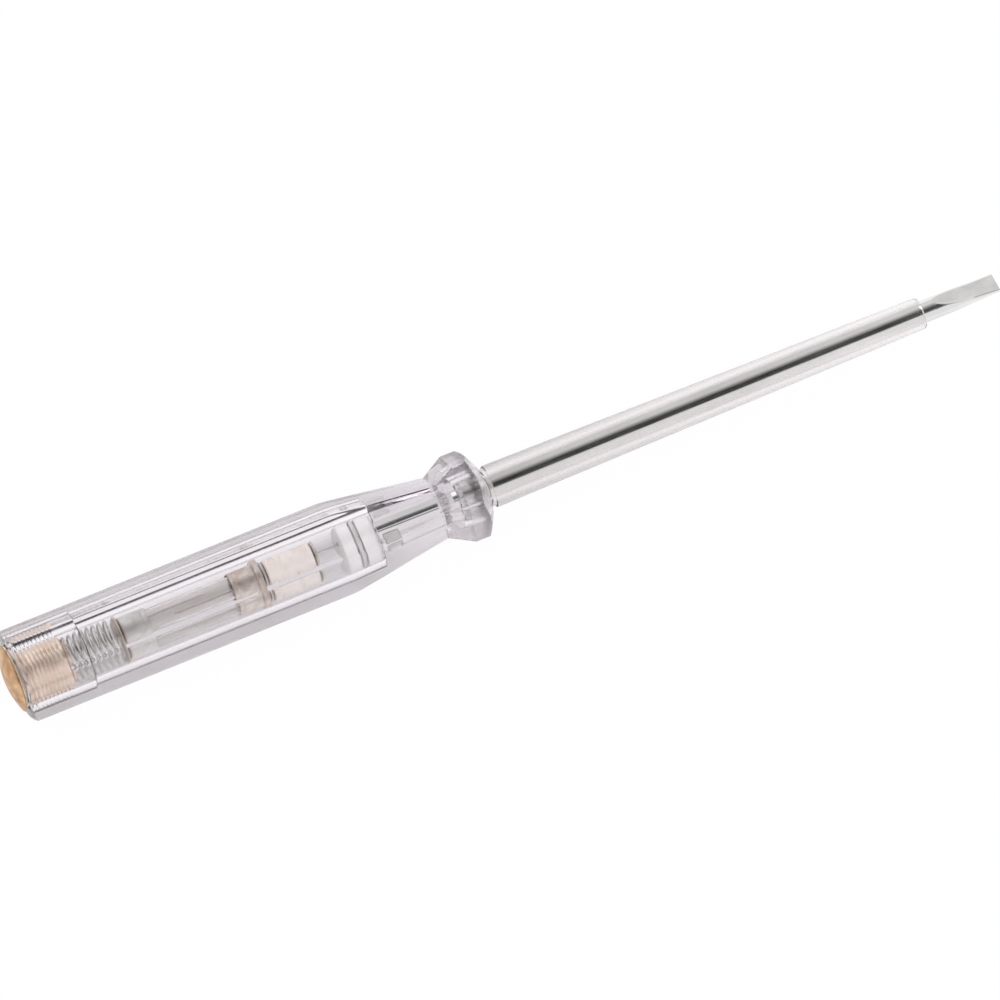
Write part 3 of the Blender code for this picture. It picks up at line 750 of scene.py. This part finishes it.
def make_handle(surface):
    """Clear moulding with its thread bore, lamp chamber and sleeve socket. The shank is moulded in."""
    outer = [hexagon_ring(along) for along in handle_stations()]
    outside = ring_mesh("handle_outside", outer + circles(SOCKET, len(outer[0])), close_end=True)
    wall = [CHAMBER_REAR] + steps_between(*CHAMBER_WALL) + [CHAMBER_FRONT]
    front = BORE_STEP + [(along, CHAMBER_RADIUS) for along in wall] + CHAMBER_FLOOR
    rings = circles(BORE_MOUTH, BORE_SIDES)
    rings += thread_rings(BORE_SIDES, **BORE_THREAD)
    rings += circles(front, BORE_SIDES)
    bore = ring_mesh("handle_bore", rings, close_end=True)
    shape = bmesh.new()
    shape.from_mesh(outside)
    shape.from_mesh(bore)
    bmesh.ops.bridge_loops(shape, edges=[e for e in shape.edges if e.is_boundary])
    mesh = face_outwards(shape, bpy.data.meshes.new("clear_handle"))
    dress(link("clear_handle", mesh, sharp_deg=24.0), surface, "clear_plastic", "handle", "handle")


# Screw cap and spring

def make_cap(surface):
    """Screw cap: shallow dome with a rolled rim, threaded plug and spigot."""
    curve = (DOME_RADIUS ** 2 + DOME_HEIGHT ** 2) / (2 * DOME_HEIGHT)
    dome = []
    for i in range(1, DOME_STEPS):
        angle = math.asin(DOME_RADIUS / curve) * i / DOME_STEPS
        dome.append((DOME_TOP + curve * (1 - math.cos(angle)), curve * math.sin(angle)))
    rings = circles(dome + CAP_RIM, CAP_SIDES)
    rings += thread_rings(CAP_SIDES, **CAP_THREAD)
    rings += circles(CAP_SPIGOT, CAP_SIDES)
    mesh = ring_mesh("copper_screw_cap", rings, close_start=True, close_end=True)
    dress(link("copper_screw_cap", mesh, sharp_deg=40.0), surface, "copper_cap", "cap", "contact_cap")


def wire_mesh(name, points, radius, sides):
    """Round wire along points in world metres, with flat ends."""
    verts = []
    normal = None
    for i, p in enumerate(points):
        before = points[max(0, i - 1)]
        after = points[min(len(points) - 1, i + 1)]
        along = (after - before).normalized()
        if normal is None:
            normal = along.orthogonal().normalized()
        normal = (normal - along * normal.dot(along)).normalized()
        other = along.cross(normal)
        for k in range(sides):
            turn = math.tau * k / sides
            verts.append(p + (normal * math.cos(turn) + other * math.sin(turn)) * radius)
    faces = skin_faces(sides, [(i, i + 1) for i in range(len(points) - 1)])
    faces.append(tuple(range(sides)))
    faces.append(tuple((len(points) - 1) * sides + k for k in range(sides)))
    return mesh_from(name, verts, faces)


def make_spring(surface):
    """Coil spring between the cap's spigot and the contact disc."""
    points = []
    for i in range(SPRING_TURNS * SPRING_STEPS_PER_TURN + 1):
        share = i / (SPRING_TURNS * SPRING_STEPS_PER_TURN)
        turn = math.tau * SPRING_TURNS * share
        along = SPRING_REAR + (SPRING_FRONT - SPRING_REAR) * share
        points.append(to_world(along, SPRING_RADIUS * math.sin(turn), SPRING_RADIUS * math.cos(turn)))
    mesh = wire_mesh("coil_spring", points, SPRING_WIRE_RADIUS * MM, SPRING_WIRE_SIDES)
    spring = link("coil_spring", mesh)
    spring.data.materials.append(surface)
    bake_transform(spring)
    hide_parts("compression_spring")


# Lamp, resistor and contacts

def make_contents(nickel, brass, glass, ceramic, white, rubber):
    """Pieces in the lamp chamber, turned with rolled and rounded edges."""
    rear_end, front_end = (
        [(start + along, radius) for along, radius in RESISTOR_END]
        for start in (RESISTOR_REAR_AT, RESISTOR_FRONT_AT)
    )
    solid, tube = False, True
    for name, outline, kind, rounding, sides, surface, slot, node in (
        ("contact_disc", DISC, solid, 0.1, 96, brass, "brass", "spring_seat"),
        ("lamp_rear_ferrule", REAR_FERRULE, solid, 0.06, 96, nickel, "nickel", "lamp_rear_cap"),
        ("lamp_front_ferrule", FRONT_FERRULE, solid, 0.06, 96, brass, "brass", "lamp_front_cap"),
        ("lamp_tube", GLASS_TUBE, tube, 0.12, 96, glass, "lamp_glass", "lamp_glass"),
        ("resistor_rod", RESISTOR_ROD, solid, 0.1, 96, ceramic, "resistor_ceramic", "resistor_body"),
        ("resistor_rear_end", rear_end, solid, 0.05, 96, nickel, "nickel", "resistor_rear_cap"),
        ("resistor_front_end", front_end, solid, 0.05, 96, nickel, "nickel", "resistor_front_cap"),
        ("white_bush", BUSH, tube, 0.08, 96, white, "white_plastic", "contact_carrier"),
        ("groove_ring", GROOVE_RING, tube, 0.1, 96, rubber, "ring_rubber", "carrier_ring"),
        ("headed_pin", HEADED_PIN, solid, 0.05, 48, brass, "brass", "contact_pin"),
    ):
        piece = turned(name, outline, sides, rounding, kind)
        dress(piece, surface, slot, "handle", node)


def repaint(node, surface):
    """Gives a carried-over node its material."""
    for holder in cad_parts[node].material_slots:
        holder.material = surface


# Blade and sleeve

def shank_ring(along, half):
    """Bar section with two flats, at half the thickness from the axis, and rounded ridges beside them."""
    half = min(half, SHANK_RADIUS * FLAT_LIMIT)
    ridge = min(RIDGE_RADIUS, RIDGE_SHARE * half)
    reach = math.sqrt((SHANK_RADIUS - ridge) ** 2 - (half - ridge) ** 2)
    angle = math.atan2(half - ridge, reach)
    quarter = []
    for i in range(ROUND_STEPS + 1):
        a = angle * i / ROUND_STEPS
        quarter.append((SHANK_RADIUS * math.cos(a), SHANK_RADIUS * math.sin(a)))
    for i in range(1, RIDGE_STEPS + 1):
        a = angle + (math.pi / 2 - angle) * i / RIDGE_STEPS
        quarter.append((reach + ridge * math.cos(a), half - ridge + ridge * math.sin(a)))
    quarter += [(reach * (1.0 - share), half) for share in RIDGE_FLAT_SHARES]
    points = quarter + [(0.0, half)] + [(-y, z) for y, z in reversed(quarter[1:])]
    points += [(-y, -z) for y, z in points]
    turn = Matrix.Rotation(-TIP_TURN, 2)
    turned_points = [turn @ Vector(p) for p in points]
    return [(along, p.x, p.y) for p in turned_points]


def is_ground(face, grind_start):
    """Whether a face of the blade is one of the tip's ground flats or its end."""
    flat_normal = Vector((0.0, math.sin(TIP_TURN), math.cos(TIP_TURN)))
    if face.center.x <= (REAR_X + grind_start) * MM:
        return False
    on_flat = abs(face.normal.dot(flat_normal)) > MATCHES_FLAT and abs(face.normal.x) < LEANS_TO_AXIS
    return on_flat or face.normal.x > MATCHES_AXIS


def make_blade(plated, ground):
    """Polished shank with a hollow-ground tip."""
    start = TIP_END - GRIND_LENGTH
    stations = SHANK_REAR + steps_between(SHANK_EVEN_FROM, start, SHANK_STEP)
    rings = [shank_ring(along, SHANK_RADIUS) for along in stations]
    for i in range(GRIND_STEPS + 1):
        share = i / GRIND_STEPS
        ground_away = min(1.0, share + GRIND_HOLLOW * math.sin(math.pi * share))
        half = SHANK_RADIUS + (TIP_HALF_THICKNESS - SHANK_RADIUS) * ground_away
        rings.append(shank_ring(start + GRIND_LENGTH * share, half))
    mesh = ring_mesh("blade_bar", rings, close_start=True, close_end=True)
    blade = link("blade_bar", mesh, sharp_deg=20.0)
    blade.data.materials.append(plated)
    blade.data.materials.append(ground)
    for face in blade.data.polygons:
        if is_ground(face, start):
            face.material_index = 1
    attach(blade, "handle")
    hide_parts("blade")


def rise(edge):
    """Height in metres between the ends of an edge."""
    return abs(edge.verts[0].co.z - edge.verts[1].co.z)


def round_edges(shape, edges, radius, steps):
    """Rounds edges of a shape."""
    bmesh.ops.bevel(shape, geom=edges, offset=radius * MM, segments=steps, profile=0.5, affect="EDGES")


def make_ears(surface):
    """Ears pressed out of the bar, embedded in the neck."""
    shape = bmesh.new()
    bmesh.ops.create_cube(shape, size=1.0)
    bmesh.ops.scale(shape, vec=[side * MM for side in EARS_SIZE], verts=shape.verts)
    upright = [e for e in shape.edges if rise(e) > EARS_SIZE[2] / 2 * MM]
    round_edges(shape, upright, EARS_CORNER, EARS_CORNER_STEPS)
    level = [e for e in shape.edges if rise(e) < LEVEL_EDGE * MM]
    round_edges(shape, level, EARS_LIP, EARS_LIP_STEPS)
    bmesh.ops.rotate(shape, matrix=Matrix.Rotation(-TIP_TURN, 3, "X"), verts=shape.verts)
    bmesh.ops.translate(shape, vec=to_world(EARS_AT, 0.0, 0.0), verts=shape.verts)
    mesh = bpy.data.meshes.new("blade_ears")
    shape.to_mesh(mesh)
    shape.free()
    dress(link("blade_ears", mesh, sharp_deg=40.0), surface, "chrome_steel", "handle")


def make_sleeve(surface):
    """Clear tapered sleeve with a spigot in the nose and a rounded front edge."""
    outline = SLEEVE_ROOT + straight(SLEEVE_ROOT[-1], SLEEVE_TAPER_END, SLEEVE_STEPS) + SLEEVE_FRONT
    outline += straight(SLEEVE_FRONT[-1], SLEEVE_BORE_REAR[0], SLEEVE_STEPS) + SLEEVE_BORE_REAR[1:]
    sleeve = turned("clear_sleeve", outline, SLEEVE_SIDES, tube=True)
    dress(sleeve, surface, "sleeve_plastic", "handle", "blade_sleeve")


# Stage, light and camera

def make_floor():
    """Plain pale floor with the tool's soft shadow.

    It is white to the camera, and a mix of white and its own lit colour in metal and clear pieces.
    """
    size, low = FLOOR_HALF_SIZE * MM, FLOOR_HEIGHT * MM
    corners = [(-size, -size, low), (size, -size, low), (size, size, low), (-size, size, low)]
    mesh = bpy.data.meshes.new("floor")
    mesh.from_pydata(corners, [], [(0, 1, 2, 3)])
    floor = bpy.data.objects.new("floor", mesh)
    bpy.context.scene.collection.objects.link(floor)
    n = new_material("floor_pale")
    n.tree.nodes.clear()
    diffuse = n.add("ShaderNodeBsdfDiffuse")
    n.feed(FLOOR_COLOR, diffuse.inputs["Color"])
    glow = n.add("ShaderNodeEmission")
    n.feed(WHITE, glow.inputs["Color"])
    path = n.add("ShaderNodeLightPath")
    share = 0.0
    for ray, strength in FLOOR_GLOW:
        share = n.calculate("MAXIMUM", share, n.calculate("MULTIPLY", path.outputs[ray], strength))
    seen = n.mix_shaders(share, diffuse.outputs[0], glow.outputs[0])
    n.feed(seen, n.add("ShaderNodeOutputMaterial").inputs["Surface"])
    floor.data.materials.append(n.holder)


def make_world():
    """White studio, a little darker on the near side, with a dark opening towards the camera.

    The opening gives way to plain light towards the tool's ends. Matt surfaces are lit evenly.
    """
    world = bpy.data.worlds.new("studio")
    bpy.context.scene.world = world
    n = Nodes(world)
    n.tree.nodes.clear()
    direction = n.add("ShaderNodeTexCoord").outputs["Generated"]
    axis = Vector((1.0, 0.0, 0.0))
    above = (VIEW_DIRECTION - axis * VIEW_DIRECTION.dot(axis)).normalized()
    near = above.cross(axis)

    def part_along(way):
        dot = n.add("ShaderNodeVectorMath", operation="DOT_PRODUCT")
        n.feed(direction, dot.inputs[0])
        n.feed(way, dot.inputs[1])
        return dot.outputs["Value"]

    def levels(value, stops):
        return n.ramp(value, *((place, (level,) * 3) for place, level in stops))

    def by_angle(stops):
        return [(0.5 + degrees / 360.0, level) for degrees, level in stops]

    turn = n.calculate("ARCTAN2", part_along(near), part_along(above))
    turn = n.calculate("MULTIPLY_ADD", turn, 0.5 / math.pi, 0.5)
    ends = levels(n.calculate("ABSOLUTE", part_along(axis)), STUDIO_ENDS)
    opening = levels(turn, by_angle(STUDIO_ROUND_AXIS))
    sharp = n.mix(ends, opening, levels(turn, by_angle(STUDIO_PLAIN)))
    path = n.add("ShaderNodeLightPath")
    light = n.mix(path.outputs["Diffuse Depth"], sharp, (*[STUDIO_SOFT] * 3, 1.0))
    studio = n.add("ShaderNodeBackground")
    n.feed(light, studio.inputs["Color"])
    white = n.add("ShaderNodeBackground")
    n.feed(WHITE, white.inputs["Color"])
    seen = n.mix_shaders(path.outputs["Is Camera Ray"], studio.outputs[0], white.outputs[0])
    n.feed(seen, n.add("ShaderNodeOutputWorld").inputs["Surface"])


def make_camera():
    """Camera at the photograph's angle: nearly overhead, with the tool rising to the upper right."""
    axis = Vector((1.0, 0.0, 0.0))
    along = (axis - VIEW_DIRECTION * axis.dot(VIEW_DIRECTION)).normalized()
    up = VIEW_DIRECTION.cross(along)
    right = along * math.cos(VIEW_ROLL) - up * math.sin(VIEW_ROLL)
    top = along * math.sin(VIEW_ROLL) + up * math.cos(VIEW_ROLL)
    data = bpy.data.cameras.new("camera")
    data.sensor_width = SENSOR_WIDTH
    data.lens = SENSOR_WIDTH * PIXELS_PER_MM * VIEW_DISTANCE / PICTURE_PIXELS
    data.clip_end = VIEW_LIMIT * MM
    camera = bpy.data.objects.new("camera", data)
    bpy.context.scene.collection.objects.link(camera)
    aim = Vector((0.0, 0.0, AXIS_Z * MM)) - right * VIEW_PAST_RIGHT * MM - top * VIEW_PAST_TOP * MM
    pose = Matrix((right, top, VIEW_DIRECTION)).transposed().to_4x4()
    pose.translation = aim + VIEW_DIRECTION * (VIEW_DISTANCE * MM)
    camera.matrix_world = pose
    bpy.context.scene.camera = camera


def make_lamp_light():
    """One broad soft lamp that gives the floor shadow a direction."""
    data = bpy.data.lights.new("soft_key", "AREA")
    data.shape = "DISK"
    data.size = LAMP_SIZE * MM
    data.energy = LAMP_POWER
    lamp = bpy.data.objects.new("soft_key", data)
    lamp.location = [place * MM for place in LAMP_PLACE]
    lamp.rotation_mode = "QUATERNION"
    lamp.rotation_quaternion = (-lamp.location).to_track_quat("-Z", "Y")
    bpy.context.scene.collection.objects.link(lamp)


def main():
    handle_clear = clear_plastic(
        "handle_plastic", tint=(0.99, 0.985, 0.99), hue=(0.84, 0.78, 0.83), density=56.0,
        streaks=0.05, waviness=0.10, scuff=0.24, collar_wear=0.26,
    )
    sleeve_clear = clear_plastic(
        "sleeve_plastic", tint=(0.99, 0.985, 0.985), hue=(0.80, 0.785, 0.78), density=280.0,
        streaks=0.03, waviness=0.05,
    )
    glass = lamp_glass_material()
    nickel = turned_metal("nickel_plate", (0.95, 0.94, 0.92), (0.76, 0.72, 0.68), rough=(0.44, 0.62))
    brass = turned_metal("brass_stamping", (0.95, 0.89, 0.83), (0.66, 0.54, 0.46), rough=(0.42, 0.60))
    wire = turned_metal(
        "spring_wire", (0.66, 0.65, 0.64), (0.42, 0.40, 0.38), rough=(0.12, 0.26), lines=0.1, grime=0.2,
    )
    pressed = turned_metal(
        "pressed_steel", (0.94, 0.93, 0.92), (0.86, 0.85, 0.84), rough=(0.42, 0.56), lines=0.05,
    )
    make_camera()
    make_world()
    make_floor()
    make_lamp_light()
    make_handle(handle_clear)
    make_cap(copper_plate())
    make_spring(wire)
    make_contents(nickel, brass, glass, lacquered_ceramic(), moulded_white(), ring_rubber())
    for node in ("lamp_rear_stem", "lamp_front_stem"):
        repaint(node, glass)
    for node in ("lamp_rear_electrode", "lamp_front_electrode", "resistor_front_lead"):
        repaint(node, nickel)
    make_blade(plated_steel(), ground_steel())
    make_ears(pressed)
    make_sleeve(sleeve_clear)
    bpy.context.scene.view_settings.view_transform = "Standard"


main()
